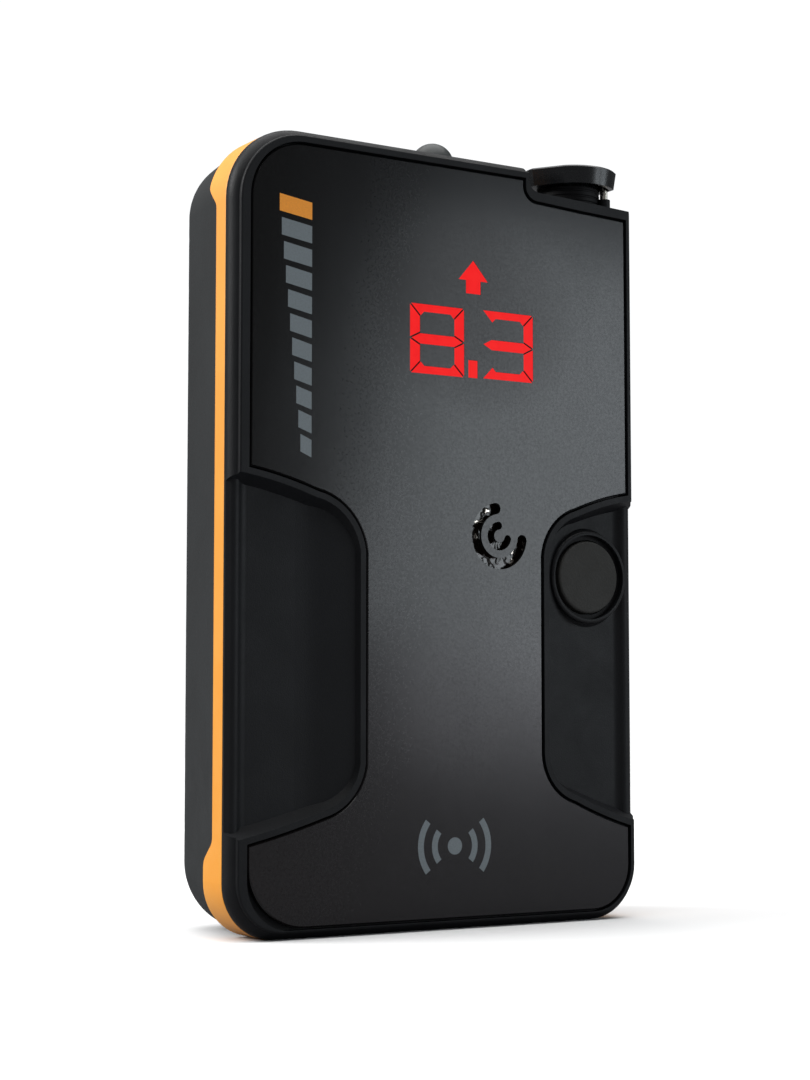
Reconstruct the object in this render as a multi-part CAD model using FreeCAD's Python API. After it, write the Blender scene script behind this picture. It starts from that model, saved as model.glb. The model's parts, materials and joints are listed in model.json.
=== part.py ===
import FreeCAD, Part
import math
import os

os.makedirs("parts", exist_ok=True)

V = FreeCAD.Vector

# Avalanche transceiver, millimetres. X to the right seen from the front, +Z up,
# front face towards -Y. The origin is at the middle of the flat underside.
# "Depth" below always means the distance behind the frontmost rim.

WIDTH = 71.0
HEIGHT = 115.0
THICKNESS = 26.6
CORNER_R = 8.0
TOP_LEFT_R = 11.0
TOP_RIGHT_R = 5.2
FRONT_Y = -THICKNESS / 2

FRONT_EDGE_R = 2.4
SHELL_SPLIT = 2.8
BAND_END = 5.7
BAND_WALL = 2.0
PAD_END = 8.4
WALL = 2.2
REAR_STEP = 0.35
SIDE_DRAFT = 3.9
TOP_DRAFT = 0.5
REAR_EDGE_R = 8.6

PLATE_TOP = 0.15
PLATE_BACK = 1.35
PLATE_GAP = 0.28
FRONT_FLOOR = 2.95
PAD_FLOOR = 3.7

BUTTON_X = 26.4
BUTTON_Z = 52.2
BUTTON_R = 5.55
COLLAR_R = 7.1
GROOVE_R = 6.5

SPEAKER_X = 9.4
SPEAKER_Z = 57.8

KNOB_X = 28.0
KNOB_DEPTH = 7.55
KNOB_UNDER = 113.95
KNOB_TOP = 116.75
KNOB_TAPER = 0.95
NECK_R = 4.3

PIN_ORBIT = 5.7
PIN_ANGLE = math.radians(-44)
PIN_R = 0.6
PIN_SEAT = 112.4

PIPE_X = 0.6
PIPE_DEPTH = 5.0
PIPE_R = 3.2
PIPE_TOP = 117.3

CELL_R = 5.2
CELL_LONG = 43.3
CELL_PITCH = 10.7
CELL_DEPTH = 18.8
TUB_HALF = 17.0
TUB_LOW = 12.0
TUB_HIGH = 64.0
TUB_FLOOR = 13.2
DOOR_HALF = 19.5
DOOR_LOW = 8.6
DOOR_HIGH = 74.0
DOOR_INSIDE = 24.5

BOARD_FRONT = 7.6
BOARD_BACK = 9.2

ANCHOR_X0 = 21.2
ANCHOR_X1 = 28.2
BORE_R = 2.25
BORE_DEPTH = 14.6
BORE_Z = 12.6

SCREWS = [(-24.3, 102.0), (24.3, 86.0), (-24.3, 22.0), (24.3, 26.0)]
LOCK_Z = 69.5


def y_at(depth):
    return FRONT_Y + depth


def save(name, shape):
    shape.exportStep("parts/" + name + ".step")


def box(x0, x1, d0, d1, z0, z1):
    return Part.makeBox(x1 - x0, d1 - d0, z1 - z0, V(x0, y_at(d0), z0))


def rod_y(x, z, r, d0, d1):
    return Part.makeCylinder(r, d1 - d0, V(x, y_at(d0), z), V(0, 1, 0))


def rod_z(x, depth, r, z0, z1):
    return Part.makeCylinder(r, z1 - z0, V(x, y_at(depth), z0), V(0, 0, 1))


def rod_x(depth, z, r, x0, x1):
    return Part.makeCylinder(r, x1 - x0, V(x0, y_at(depth), z), V(1, 0, 0))


def ring_y(x, z, r_out, r_in, d0, d1):
    return rod_y(x, z, r_out, d0, d1).cut(rod_y(x, z, r_in, d0 - 1, d1 + 1))


def fuse_all(shapes):
    first = shapes[0]
    if len(shapes) > 1:
        first = first.multiFuse(shapes[1:])
    return first.removeSplitter()


def rounded_wire(x0, x1, z0, z1, radii, depth):
    # radii: one value, or one each for lower left, lower right, upper right, upper left
    if not isinstance(radii, tuple):
        radii = (radii, radii, radii, radii)
    y = y_at(depth)
    corners = []
    places = [(x0, z0, 1, 1), (x1, z0, -1, 1), (x1, z1, -1, -1), (x0, z1, 1, -1)]
    for i in range(4):
        x, z, sx, sz = places[i]
        r = radii[i]
        k = r * (1 - math.sqrt(0.5))
        upright = V(x, y, z + sz * r)
        level = V(x + sx * r, y, z)
        middle = V(x + sx * k, y, z + sz * k)
        corners.append([upright, middle, level] if i in (0, 2) else [level, middle, upright])
    edges = []
    for i in range(4):
        edges.append(Part.Arc(*corners[i]).toShape())
        edges.append(Part.makeLine(corners[i][2], corners[(i + 1) % 4][0]))
    return Part.Wire(edges)


def rounded_block(x0, x1, z0, z1, r, d0, d1):
    face = Part.Face(rounded_wire(x0, x1, z0, z1, r, d0))
    return face.extrude(V(0, d1 - d0, 0))


def body_block(inset, d0, d1):
    half = WIDTH / 2 - inset
    r = CORNER_R - inset * 0.7
    top_left = TOP_LEFT_R - inset * 0.7
    top_right = TOP_RIGHT_R - inset * 0.7
    return rounded_block(-half, half, inset, HEIGHT - inset, (r, r, top_right, top_left), d0, d1)


def round_front(shape, depth, radius):
    y = y_at(depth)
    picked = []
    for edge in shape.Edges:
        bound = edge.BoundBox
        if abs(bound.YMin - y) < 1e-4 and abs(bound.YMax - y) < 1e-4:
            picked.append(edge)
    return shape.makeFillet(radius, picked)


def outline_face(steps, place):
    # steps: start point, then either an end point or a (through, end) pair
    here = place(steps[0])
    edges = []
    for step in steps[1:]:
        if isinstance(step[0], tuple):
            end = place(step[1])
            edges.append(Part.Arc(here, place(step[0]), end).toShape())
        else:
            end = place(step)
            edges.append(Part.makeLine(here, end))
        here = end
    return Part.Face(Part.Wire(edges))


def path_face(steps, depth):
    return outline_face(steps, lambda p: V(p[0], y_at(depth), p[1]))


# Side scallops: the plate narrows to a waist so that a hand in a glove grips the unit.
LEFT_SCALLOP = [
    (-40.0, 66.6), ((-27.9, 64.9), (-21.8, 63.1)), ((-16.2, 60.0), (-13.7, 54.7)),
    (-13.7, 24.2), ((-15.7, 19.6), (-20.5, 16.6)), ((-29.9, 13.9), (-40.0, 11.8)),
    (-40.0, 66.6),
]
RIGHT_SCALLOP = [
    (40.0, 66.1), ((29.0, 64.4), (23.5, 62.5)), ((19.0, 59.5), (17.2, 55.0)),
    (17.2, 25.2), ((18.7, 20.9), (23.0, 17.9)), ((30.4, 14.9), (40.0, 12.4)),
    (40.0, 66.1),
]

# Step in the upper right corner that holds the selector.
NOTCH = [
    (15.0, 130.0), (15.0, 112.9), ((15.6, 111.5), (17.0, 110.9)),
    (21.2, 110.8), (34.6, 110.15), ((35.25, 109.85), (35.5, 109.2)), (40.0, 109.2),
    (40.0, 130.0), (15.0, 130.0),
]


PLATE_NOTCH = [
    (14.2, 130.0), (14.2, 111.9), ((14.8, 110.1), (16.6, 109.3)), (24.9, 108.85),
    (40.0, 108.2), (40.0, 130.0), (14.2, 130.0),
]


def notch_block(grow, d0, d1):
    face = path_face(NOTCH, d0)
    if grow > 0:
        face = face.makeOffset2D(grow)
    return face.extrude(V(0, d1 - d0, 0))


def waisted_face(bounds, radii, gap, depth):
    # rounded rectangle, less the scallops and the notch, each kept back by the gap
    face = Part.Face(rounded_wire(*bounds, radii, depth))
    for outline in (LEFT_SCALLOP, RIGHT_SCALLOP, PLATE_NOTCH):
        cut = path_face(outline, depth)
        if gap > 0:
            cut = cut.makeOffset2D(-gap)
        face = face.cut(cut)
    return Part.Face(face.Faces[0].OuterWire)


def plate_face(depth):
    return waisted_face((-32.7, 33.45, 1.62, 112.68), (9.0, 6.7, 3.9, 8.4), 0.0, depth)


def recess_face(depth):
    return waisted_face((-33.0, 33.75, 1.35, 112.95), (7.0, 7.0, 4.2, 8.8), PLATE_GAP, depth)


def scallop_cutter(outline, side):
    # floor profile from the waist outwards: shallow slope, soft fold, flat pool, low outer rim
    upper = path_face(outline, -0.3).makeOffset2D(-1.0).OuterWire
    lower = path_face(outline, 3.2).makeOffset2D(-2.9).OuterWire
    walls = Part.makeLoft([upper, lower], True, True)
    inner = abs(outline[3][0])
    floor = [
        (inner - 4, -2.0), (inner - 4, 0.1), (inner + 1.0, 0.7), (inner + 7.0, 1.78),
        ((inner + 8.9, 2.05), (inner + 10.8, 2.16)), (32.0, 2.3), ((32.9, 2.2), (33.5, 1.85)),
        ((34.2, 1.58), (34.9, 1.8)), (36.5, 3.2), (37.5, 3.2), (37.5, -2.0), (inner - 4, -2.0),
    ]
    return walls.common(outline_face(floor, lambda p: V(side * p[0], y_at(p[1]), 0)).extrude(V(0, 0, 90)))


def ramp_points(start, sign):
    # profile of one corner pad: a smooth 45 degree ramp from the band to the full pad depth
    sweep = 2.2 * math.sqrt(0.5)
    foot = 1.6 * math.sqrt(0.5)
    rise = PAD_END - BAND_END
    foot_d = BAND_END + 1.6 - foot
    crest_d = PAD_END - 2.2 + sweep
    crest_s = foot + (crest_d - foot_d)
    half = math.radians(22.5)
    points = [
        (0.0, BAND_END), (1.6 * math.sin(half), BAND_END + 1.6 - 1.6 * math.cos(half)), (foot, foot_d),
        (crest_s, crest_d), (crest_s + sweep - 2.2 * math.sin(half), PAD_END - 2.2 + 2.2 * math.cos(half)),
        (crest_s + sweep, PAD_END), (crest_s + sweep + 22, PAD_END),
        (crest_s + sweep + 22, PAD_END - rise - 1.0), (0.0, PAD_END - rise - 1.0),
    ]
    return [(start + sign * p[0], y_at(p[1])) for p in points]


def ramp_block(start, sign, along_z):
    p = ramp_points(start, sign)
    steps = [p[0], (p[1], p[2]), p[3], (p[4], p[5]), p[6], p[7], p[8], p[0]]
    if along_z:
        return outline_face(steps, lambda q: V(-60, q[1], q[0])).extrude(V(120, 0, 0))
    return outline_face(steps, lambda q: V(q[0], q[1], -60)).extrude(V(0, 0, 240))


def corner_pads():
    low = ramp_block(14.2, -1, True)
    high = ramp_block(103.0, 1, True)
    left = ramp_block(-23.3, -1, False)
    right = ramp_block(23.3, 1, False)
    return [low.common(left), low.common(right), high.common(left)]


# ---- front shell -----------------------------------------------------------

LIP_INSET = 1.0
LIP_DROP = 0.32

front = round_front(body_block(0.0, LIP_DROP, SHELL_SPLIT), LIP_DROP, FRONT_EDGE_R - LIP_DROP)
lip = round_front(body_block(LIP_INSET, 0.0, 2.0), 0.0, 0.3)
skirt = body_block(BAND_WALL, 2.0, BAND_END)
front = fuse_all([front, lip, skirt])

hollow = body_block(3.7, FRONT_FLOOR, BAND_END + 1)
thick_left = box(-40, -11.5, FRONT_FLOOR - 1, PAD_FLOOR, 10, 69)
thick_right = box(15.0, 40, FRONT_FLOOR - 1, PAD_FLOOR, 11, 69)
hollow = hollow.cut(thick_left).cut(thick_right).cut(notch_block(WALL, -1, 8))
front = front.cut(hollow).cut(notch_block(0, -1, 8))
recess = recess_face(-1).extrude(V(0, PLATE_BACK + 1, 0))
front = front.cut(recess)
scallops = fuse_all([scallop_cutter(LEFT_SCALLOP, -1), scallop_cutter(RIGHT_SCALLOP, 1)])
front = front.cut(scallops)

collar = rod_y(BUTTON_X, BUTTON_Z, COLLAR_R, 0.45, PAD_FLOOR)
collar = round_front(collar, 0.45, 0.35)
cone_foot = V(BUTTON_X, y_at(SHELL_SPLIT), BUTTON_Z)
skirt_cone = Part.makeCone(COLLAR_R + 1.03, COLLAR_R - 0.3, 1.9, cone_foot, V(0, -1, 0))
front = fuse_all([front, collar, skirt_cone])
front = front.cut(rod_y(BUTTON_X, BUTTON_Z, GROOVE_R, 0, 2.0))
front = front.cut(rod_y(BUTTON_X, BUTTON_Z, BUTTON_R + 0.15, 0, 9))

bosses = []
for x, z in SCREWS:
    bosses.append(rod_y(x, z, 3.0, FRONT_FLOOR - 0.8, 12.0).cut(scallops))
front = fuse_all([front] + bosses)
for x, z in SCREWS:
    front = front.cut(rod_y(x, z, 1.15, FRONT_FLOOR + 0.3, 13.0))

window = rounded_block(-9.6, 18.6, 78.2, 102.2, 1.5, 0, 6)
sound_hole = rod_y(SPEAKER_X, SPEAKER_Z, 5.9, 0, 6)
front = front.cut(window).cut(sound_hole)
speaker_wall = ring_y(SPEAKER_X, SPEAKER_Z, 11.2, 10.2, FRONT_FLOOR - 0.3, 5.2)
speaker_wall = speaker_wall.cut(box(14.9, 40, 0, 9, 30, 80))
front = fuse_all([front, speaker_wall])
pipe_hole = rod_z(PIPE_X, PIPE_DEPTH, PIPE_R + 0.05, 105, 120)
flange_hole = rod_z(PIPE_X, PIPE_DEPTH, 3.5, 105, 110.1)
bushing_hole = rod_z(KNOB_X, KNOB_DEPTH, 3.35, 100, 112)
front = front.cut(pipe_hole).cut(flange_hole).cut(bushing_hole)
pin_x = KNOB_X + PIN_ORBIT * math.cos(PIN_ANGLE)
pin_depth = KNOB_DEPTH + PIN_ORBIT * math.sin(PIN_ANGLE)
front = fuse_all([front, rod_z(pin_x, pin_depth, 1.0, 109.6, PIN_SEAT)])
front = front.cut(rod_z(pin_x, pin_depth, PIN_R + 0.02, 108, 113))
save("front_shell", front)

# ---- glossy face plate with openings for the lit segments and the sound ----


def arc_slot(radius, stroke, start, end, d0, d1):
    outer = rod_y(SPEAKER_X, SPEAKER_Z, radius + stroke / 2, d0, d1)
    slot = outer.cut(rod_y(SPEAKER_X, SPEAKER_Z, radius - stroke / 2, d0 - 1, d1 + 1))
    a0 = math.radians(start)
    a1 = math.radians(end)
    gap = [V(SPEAKER_X, y_at(d0), SPEAKER_Z)]
    for i in range(5):
        a = a1 + (a0 + 2 * math.pi - a1) * i / 4
        gap.append(V(SPEAKER_X + 9 * math.cos(a), y_at(d0), SPEAKER_Z + 9 * math.sin(a)))
    gap.append(gap[0])
    slot = slot.cut(Part.Face(Part.makePolygon(gap)).extrude(V(0, d1 - d0, 0)))
    ends = []
    for a in (a0, a1):
        x = SPEAKER_X + radius * math.cos(a)
        z = SPEAKER_Z + radius * math.sin(a)
        ends.append(rod_y(x, z, stroke / 2, d0, d1))
    return fuse_all([slot] + ends)


def poly_block(points, d0, d1):
    pts = [V(p[0], y_at(d0), p[1]) for p in points]
    pts.append(pts[0])
    return Part.Face(Part.makePolygon(pts)).extrude(V(0, d1 - d0, 0))


STROKE = 1.7
MITRE = 0.16
EAR = 0.6


def digit_bars(x0, z0, wide, high, lit, grow):
    # seven-bar digit with mitred joints and eared top and bottom bars; letters in the usual order
    s = STROKE
    g = MITRE - grow
    x1 = x0 + wide
    z1 = z0 + high
    m = (z0 + z1) / 2
    h = s / 2
    e = grow
    t = s - EAR
    bars = {
        "a": [(x0 + g, z1 + e), (x1 - g, z1 + e), (x1 - s - g, z1 - s - e), (x1 - s - EAR - g, z1 - t - e),
              (x0 + s + EAR + g, z1 - t - e), (x0 + s + g, z1 - s - e)],
        "d": [(x0 + g, z0 - e), (x0 + s + g, z0 + s + e), (x0 + s + EAR + g, z0 + t + e),
              (x1 - s - EAR - g, z0 + t + e), (x1 - s - g, z0 + s + e), (x1 - g, z0 - e)],
        "f": [(x0 - e, z1 - g), (x0 + s + e, z1 - s - g), (x0 + s + e, m + h + g), (x0 - e, m + g)],
        "e": [(x0 - e, z0 + g), (x0 - e, m - g), (x0 + s + e, m - h - g), (x0 + s + e, z0 + s + g)],
        "b": [(x1 + e, z1 - g), (x1 + e, m + g), (x1 - s - e, m + h + g), (x1 - s - e, z1 - s - g)],
        "c": [(x1 + e, z0 + g), (x1 - s - e, z0 + s + g), (x1 - s - e, m - h - g), (x1 + e, m - g)],
        "g": [(x0 + g * 1.6, m), (x0 + s, m + h + e - 0.1), (x1 - s, m + h + e - 0.1),
              (x1 - g * 1.6, m), (x1 - s, m - h - e + 0.1), (x0 + s, m - h - e + 0.1)],
    }
    return [bars[name] for name in lit]


def lit_shapes(grow):
    tens = digit_bars(-6.4, 81.25, 9.5, 10.3, "abcdefg", grow)
    units = digit_bars(6.4, 81.4, 9.3, 10.3, "abcdg", grow)
    dot = [(3.9 - grow, 81.3 - grow), (5.5 + grow, 81.3 - grow),
           (5.5 + grow, 83.9 + grow), (3.9 - grow, 83.9 + grow)]
    g = grow
    arrow = [(4.8, 99.0 + 1.4 * g), (7.4 + 1.4 * g, 96.0 - g), (6.1 + g, 96.0 - g), (6.1 + g, 94.0 - g),
             (3.5 - g, 94.0 - g), (3.5 - g, 96.0 - g), (2.2 - 1.4 * g, 96.0 - g)]
    return tens, units, dot, arrow


BEVEL = 0.22
plate_wire = plate_face(PLATE_TOP + BEVEL).OuterWire
top_wire = plate_face(PLATE_TOP).makeOffset2D(-BEVEL, 2).OuterWire
plate = plate_face(PLATE_TOP + BEVEL).extrude(V(0, PLATE_BACK - PLATE_TOP - BEVEL, 0))
plate = fuse_all([plate, Part.makeLoft([plate_wire, top_wire], True, True)])
outer_slot = arc_slot(4.15, 1.7, 99, 353, 0, 2)
inner_slot = arc_slot(1.55, 1.2, 95, 345, 0, 2)
plate = plate.cut(outer_slot).cut(inner_slot)
plate = plate.cut(rod_y(SPEAKER_X, SPEAKER_Z, 5.7, PLATE_TOP + 0.5, 2.0))
tens, units, dot, arrow = lit_shapes(0.03)
openings = []
for outline in tens + units + [dot, arrow]:
    openings.append(poly_block(outline, -0.5, 2.0))
for opening in openings:
    plate = plate.cut(opening)
save("face_plate", plate)

tens, units, dot, arrow = lit_shapes(0.0)
GUIDE_END = 3.4


def guides(outlines):
    blocks = []
    for outline in outlines:
        blocks.append(poly_block(outline, PLATE_TOP + 0.02, GUIDE_END))
    return Part.makeCompound(blocks)


save("tens_light_bars", guides(tens))
save("units_light_bars", guides(units))
save("decimal_light_bar", guides([dot]))
save("direction_arrow_light", guides([arrow]))

display = rounded_block(-9.2, 18.2, 78.6, 101.8, 1.0, GUIDE_END, 7.0)
display_pins = []
for i in range(10):
    for z in (80.0, 100.4):
        display_pins.append(rod_y(-6.9 + 2.54 * i, z, 0.3, 7.0, BOARD_BACK + 0.6))
save("display_module", fuse_all([display] + display_pins))

# ---- bumper band -----------------------------------------------------------

band = body_block(0.0, SHELL_SPLIT, BAND_END)
band = round_front(band, SHELL_SPLIT, 0.25)
pad_ring = body_block(0.0, BAND_END - 0.5, PAD_END)
pads = corner_pads()
lobes = []
for pad in pads:
    lobes.append(pad.common(pad_ring))
band = fuse_all([band] + lobes)
band = band.cut(body_block(BAND_WALL, 0, 12))
band = band.cut(notch_block(WALL + 0.3, -1, 30))
band = band.cut(pipe_hole)
band_pieces = sorted(band.Solids, key=lambda piece: piece.Volume)
save("bumper_band", band_pieces[-1])
save("bumper_band_tip", band_pieces[0])

# ---- rear shell ------------------------------------------------------------


def rear_solid(inset, d0, d1, edge_r):
    s = REAR_STEP + inset
    half0 = WIDTH / 2 - s
    half1 = half0 - SIDE_DRAFT
    low = inset - 0.05
    r0 = 9.0 - inset * 0.6
    r1 = 10.5 - inset * 0.6
    w0 = rounded_wire(-half0, half0, low, HEIGHT - s, (r0, r0, r0 - 2.8, r0 + 1.0), d0)
    w1 = rounded_wire(-half1, half1, low, HEIGHT - s - TOP_DRAFT, (r1, r1, r1, r1 - 1.6), d1)
    solid = round_front(Part.makeLoft([w0, w1], True, True), d1, edge_r)
    return solid.cut(box(-50, 50, -5, 40, inset - 5, inset))


rear_outer = rear_solid(0.0, BAND_END, THICKNESS, REAR_EDGE_R)
cavity = rear_solid(WALL, BAND_END - 0.5, THICKNESS - 2.1, REAR_EDGE_R - 1.8)
cavity = cavity.cut(notch_block(WALL, -1, 40))
rear = rear_outer.cut(cavity)

flange_ring = body_block(1.2, BAND_END, 7.9).cut(body_block(3.9, BAND_END - 1, 9))
flange_ring = flange_ring.common(rear_outer)
tub = box(-TUB_HALF - 1.3, TUB_HALF + 1.3, TUB_FLOOR - 1.0, THICKNESS - 1.0, TUB_LOW - 1.3, TUB_HIGH + 1.3)
lock_boss = rod_y(0, LOCK_Z, 4.2, 16.0, THICKNESS - 1.5)
anchor = box(ANCHOR_X0 - 1.5, 36, 9.6, THICKNESS, 6.5, 18.5).common(rear_outer)
posts = []
for x, z in SCREWS:
    posts.append(rod_y(x, z, 3.2, 12.0, THICKNESS - 1.0).common(rear_outer))
ledge = rounded_block(-DOOR_HALF - 2.2, DOOR_HALF + 2.2, DOOR_LOW - 2.2, DOOR_HIGH + 2.2, 4.0,
                      22.4, THICKNESS - 1.0)
rear = fuse_all([rear, flange_ring, tub, lock_boss, anchor, ledge] + posts)
pad_pocket = body_block(-1.0, BAND_END - 1, PAD_END).cut(body_block(BAND_WALL, 0, 12))
for pad in pads:
    rear = rear.cut(pad.common(pad_pocket))
rear = rear.cut(notch_block(0, -1, 40))

tub_hollow = rounded_block(-TUB_HALF, TUB_HALF, TUB_LOW, TUB_HIGH, 1.0, TUB_FLOOR, 30)
door_seat = rounded_block(-DOOR_HALF, DOOR_HALF, DOOR_LOW, DOOR_HIGH, 3.0, DOOR_INSIDE, 30)
rear = rear.cut(tub_hollow).cut(door_seat)
seal_groove = rounded_block(-TUB_HALF - 1.7, TUB_HALF + 1.7, TUB_LOW - 1.7, TUB_HIGH + 1.7, 1.6, 23.4, 24.6)
seal_core = rounded_block(-TUB_HALF - 0.6, TUB_HALF + 0.6, TUB_LOW - 0.6, TUB_HIGH + 0.6, 1.2, 23.0, 25.0)
rear = rear.cut(seal_groove.cut(seal_core))
rear = rear.cut(rod_y(0, LOCK_Z, 2.6, 18.0, 30))
for x, z in SCREWS:
    rear = rear.cut(rod_y(x, z, 1.3, 11, 30)).cut(rod_y(x, z, 2.7, 23.6, 30))

# cord anchor: a well open to the rear, and a bore from it out through the side
rear = rear.cut(rounded_block(ANCHOR_X0, ANCHOR_X1, 8.4, 16.8, 1.2, 11.0, 30))
rear = rear.cut(rod_x(BORE_DEPTH, BORE_Z, BORE_R, 26, 40))
label_seat = rounded_block(-21, 21, 79.0, 98.0, 1.5, THICKNESS - 0.2, 30)
rear = rear.cut(label_seat)
groove = body_block(2.3, BAND_END - 1, 6.7).cut(body_block(3.4, 0, 9))
rear = rear.cut(groove.cut(notch_block(WALL + 1.6, -1, 40)))
rear = rear.cut(pipe_hole).cut(flange_hole).cut(bushing_hole)
save("rear_shell", rear)

main_seal = body_block(2.35, BAND_END, 6.65).cut(body_block(3.35, 0, 9))
main_seal = main_seal.cut(notch_block(WALL + 1.7, -1, 40)).cut(pipe_hole)
seal_pieces = sorted(main_seal.Solids, key=lambda piece: piece.Volume)
save("main_seal", seal_pieces[-1])
save("rear_label", rounded_block(-20.9, 20.9, 79.1, 97.9, 1.4, THICKNESS - 0.2, THICKNESS - 0.05))

# ---- battery door, its seal and its coin screw -----------------------------

door = rounded_block(-DOOR_HALF + 0.3, DOOR_HALF - 0.3, DOOR_LOW + 0.3, DOOR_HIGH - 0.3, 2.7,
                     DOOR_INSIDE + 0.05, THICKNESS)
door = round_front(door, THICKNESS, 0.5)
spigot = rounded_block(-TUB_HALF + 0.4, TUB_HALF - 0.4, TUB_LOW + 0.4, TUB_HIGH - 0.4, 0.8,
                       24.15, DOOR_INSIDE + 0.2)
door = fuse_all([door, spigot])
for i in range(7):
    z = 22.0 + 4.0 * i
    rib_slot = rounded_block(-12.0, 12.0, z - 0.6, z + 0.6, 0.55, THICKNESS - 0.45, THICKNESS + 1)
    door = door.cut(rib_slot)
door = door.cut(rod_y(0, LOCK_Z, 2.0, 20, 30)).cut(rod_y(0, LOCK_Z, 4.2, THICKNESS - 1.1, 30))
save("battery_door", door)

seal_ring = rounded_block(-TUB_HALF - 1.6, TUB_HALF + 1.6, TUB_LOW - 1.6, TUB_HIGH + 1.6, 1.5, 23.4, 24.45)
seal_ring = seal_ring.cut(
    rounded_block(-TUB_HALF - 0.7, TUB_HALF + 0.7, TUB_LOW - 0.7, TUB_HIGH + 0.7, 1.3, 23.0, 25.0))
save("battery_seal", seal_ring)

coin = rod_y(0, LOCK_Z, 3.95, THICKNESS - 1.0, THICKNESS - 0.05)
coin = fuse_all([coin, rod_y(0, LOCK_Z, 1.85, 19.0, THICKNESS - 0.9)])
for i in range(6):
    z_ring = ring_y(0, LOCK_Z, 2.1, 1.55, 19.4 + 0.62 * i, 19.65 + 0.62 * i)
    coin = coin.cut(z_ring)
coin = coin.cut(box(-4.5, 4.5, THICKNESS - 0.7, THICKNESS + 1, LOCK_Z - 0.65, LOCK_Z + 0.65))
save("door_screw", coin)
insert = ring_y(0, LOCK_Z, 2.6, 1.95, 18.6, 23.6)
save("door_screw_insert", insert)

# ---- cells and their contacts ----------------------------------------------



def coil_spring(radius, wire_r, length):
    # three turns of round wire, standing on the origin along +Z
    helix = Part.makeLongHelix(length / 3, length, radius)
    ring = Part.Wire(Part.makeCircle(wire_r, V(radius, 0, 0), V(0, 1, 0)))
    return Part.Wire(helix.Edges).makePipeShell([ring], True, True)


cells = []
springs = []
plates = []
for i in (-1, 0, 1):
    x = CELL_PITCH * i
    up = 1 if i != 0 else -1
    mid = (TUB_LOW + TUB_HIGH) / 2
    nose = mid + up * 25.0
    tail = nose - up * (CELL_LONG + 1.2)
    low = min(tail, nose - up * 1.2)
    can = rod_z(x, CELL_DEPTH, CELL_R, low, low + CELL_LONG)
    can = can.makeFillet(0.5, can.Edges)
    nub0 = min(nose, nose - up * 1.4)
    cells.append(fuse_all([can, rod_z(x, CELL_DEPTH, 1.9, nub0, nub0 + 1.4)]))
    wall = TUB_LOW if up > 0 else TUB_HIGH
    spring = coil_spring(3.0, 0.3, abs(tail - wall) - 1.1)
    spring.translate(V(x, y_at(CELL_DEPTH), min(wall, tail) + 0.55))
    springs.append(spring)
    plate_low = TUB_HIGH - 0.6 if up > 0 else TUB_LOW
    plates.append(box(x - 4.2, x + 4.2, 14.6, 23.0, plate_low, plate_low + 0.6))
save("cells", Part.makeCompound(cells))
save("cell_springs", Part.makeCompound(springs))
save("cell_contact_plates", Part.makeCompound(plates))

# ---- option button ----------------------------------------------------------

cap = rod_y(BUTTON_X, BUTTON_Z, BUTTON_R, 0.62, PAD_FLOOR + 0.1)
cap = round_front(cap, 0.62, 0.35)
cap = fuse_all([
    cap,
    rod_y(BUTTON_X, BUTTON_Z, 6.5, PAD_FLOOR + 0.05, PAD_FLOOR + 0.65).cut(box(31.4, 40, 0, 9, 40, 60)),
    rod_y(BUTTON_X, BUTTON_Z, 1.3, PAD_FLOOR + 0.5, 5.75),
])
save("option_button", cap)
save("button_gasket", ring_y(BUTTON_X, BUTTON_Z, GROOVE_R - 0.05, BUTTON_R + 0.25, 1.4, 2.0))

coil_low = PAD_FLOOR + 0.95
key_spring = coil_spring(3.6, 0.22, BOARD_FRONT - 0.3 - coil_low)
key_spring.rotate(V(0, 0, 0), V(1, 0, 0), -90)
key_spring.translate(V(BUTTON_X, y_at(coil_low), BUTTON_Z))
save("button_spring", key_spring)
switch = fuse_all([
    box(BUTTON_X - 2.35, BUTTON_X + 2.35, 6.95, BOARD_FRONT, BUTTON_Z - 2.35, BUTTON_Z + 2.35),
    rod_y(BUTTON_X, BUTTON_Z, 1.1, 6.75, 7.2),
])
save("button_switch", switch)

# ---- selector on top ---------------------------------------------------------

# outline of the grip about the shaft: curved nose, one straight flank, one slanted flank, round back
GRIP = [
    (-4.6, -5.25), ((0.0, -7.35), (5.39, -5.48)), (5.39, 5.36), ((-3.57, 6.71), (-7.57, -0.82)),
    (-4.6, -5.25),
]


def grip_wire(scale, z):
    centre = V(KNOB_X, y_at(KNOB_DEPTH), z)
    return outline_face(GRIP, lambda p: centre + V(p[0], p[1], 0) * scale).OuterWire


KNOB_BEVEL = 0.25
rim = Part.makeLoft([grip_wire(KNOB_TAPER, KNOB_UNDER), grip_wire(1.0, KNOB_TOP - KNOB_BEVEL)], True, True)
crown = Part.makeLoft([grip_wire(1.0, KNOB_TOP - KNOB_BEVEL), grip_wire(0.965, KNOB_TOP)], True, True)
grip = fuse_all([rim, crown])
grip = grip.cut(rod_z(KNOB_X, KNOB_DEPTH, 3.4, KNOB_TOP - 0.5, KNOB_TOP + 1))
neck = rod_z(KNOB_X, KNOB_DEPTH, NECK_R, 110.9, KNOB_UNDER + 0.2)
shaft = rod_z(KNOB_X, KNOB_DEPTH, 2.0, 97.5, 111.2)
shaft = shaft.cut(rod_z(KNOB_X, KNOB_DEPTH, 3, 108.0, 109.2).cut(rod_z(KNOB_X, KNOB_DEPTH, 1.38, 107, 110)))
knob = fuse_all([grip, neck, shaft])

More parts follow.
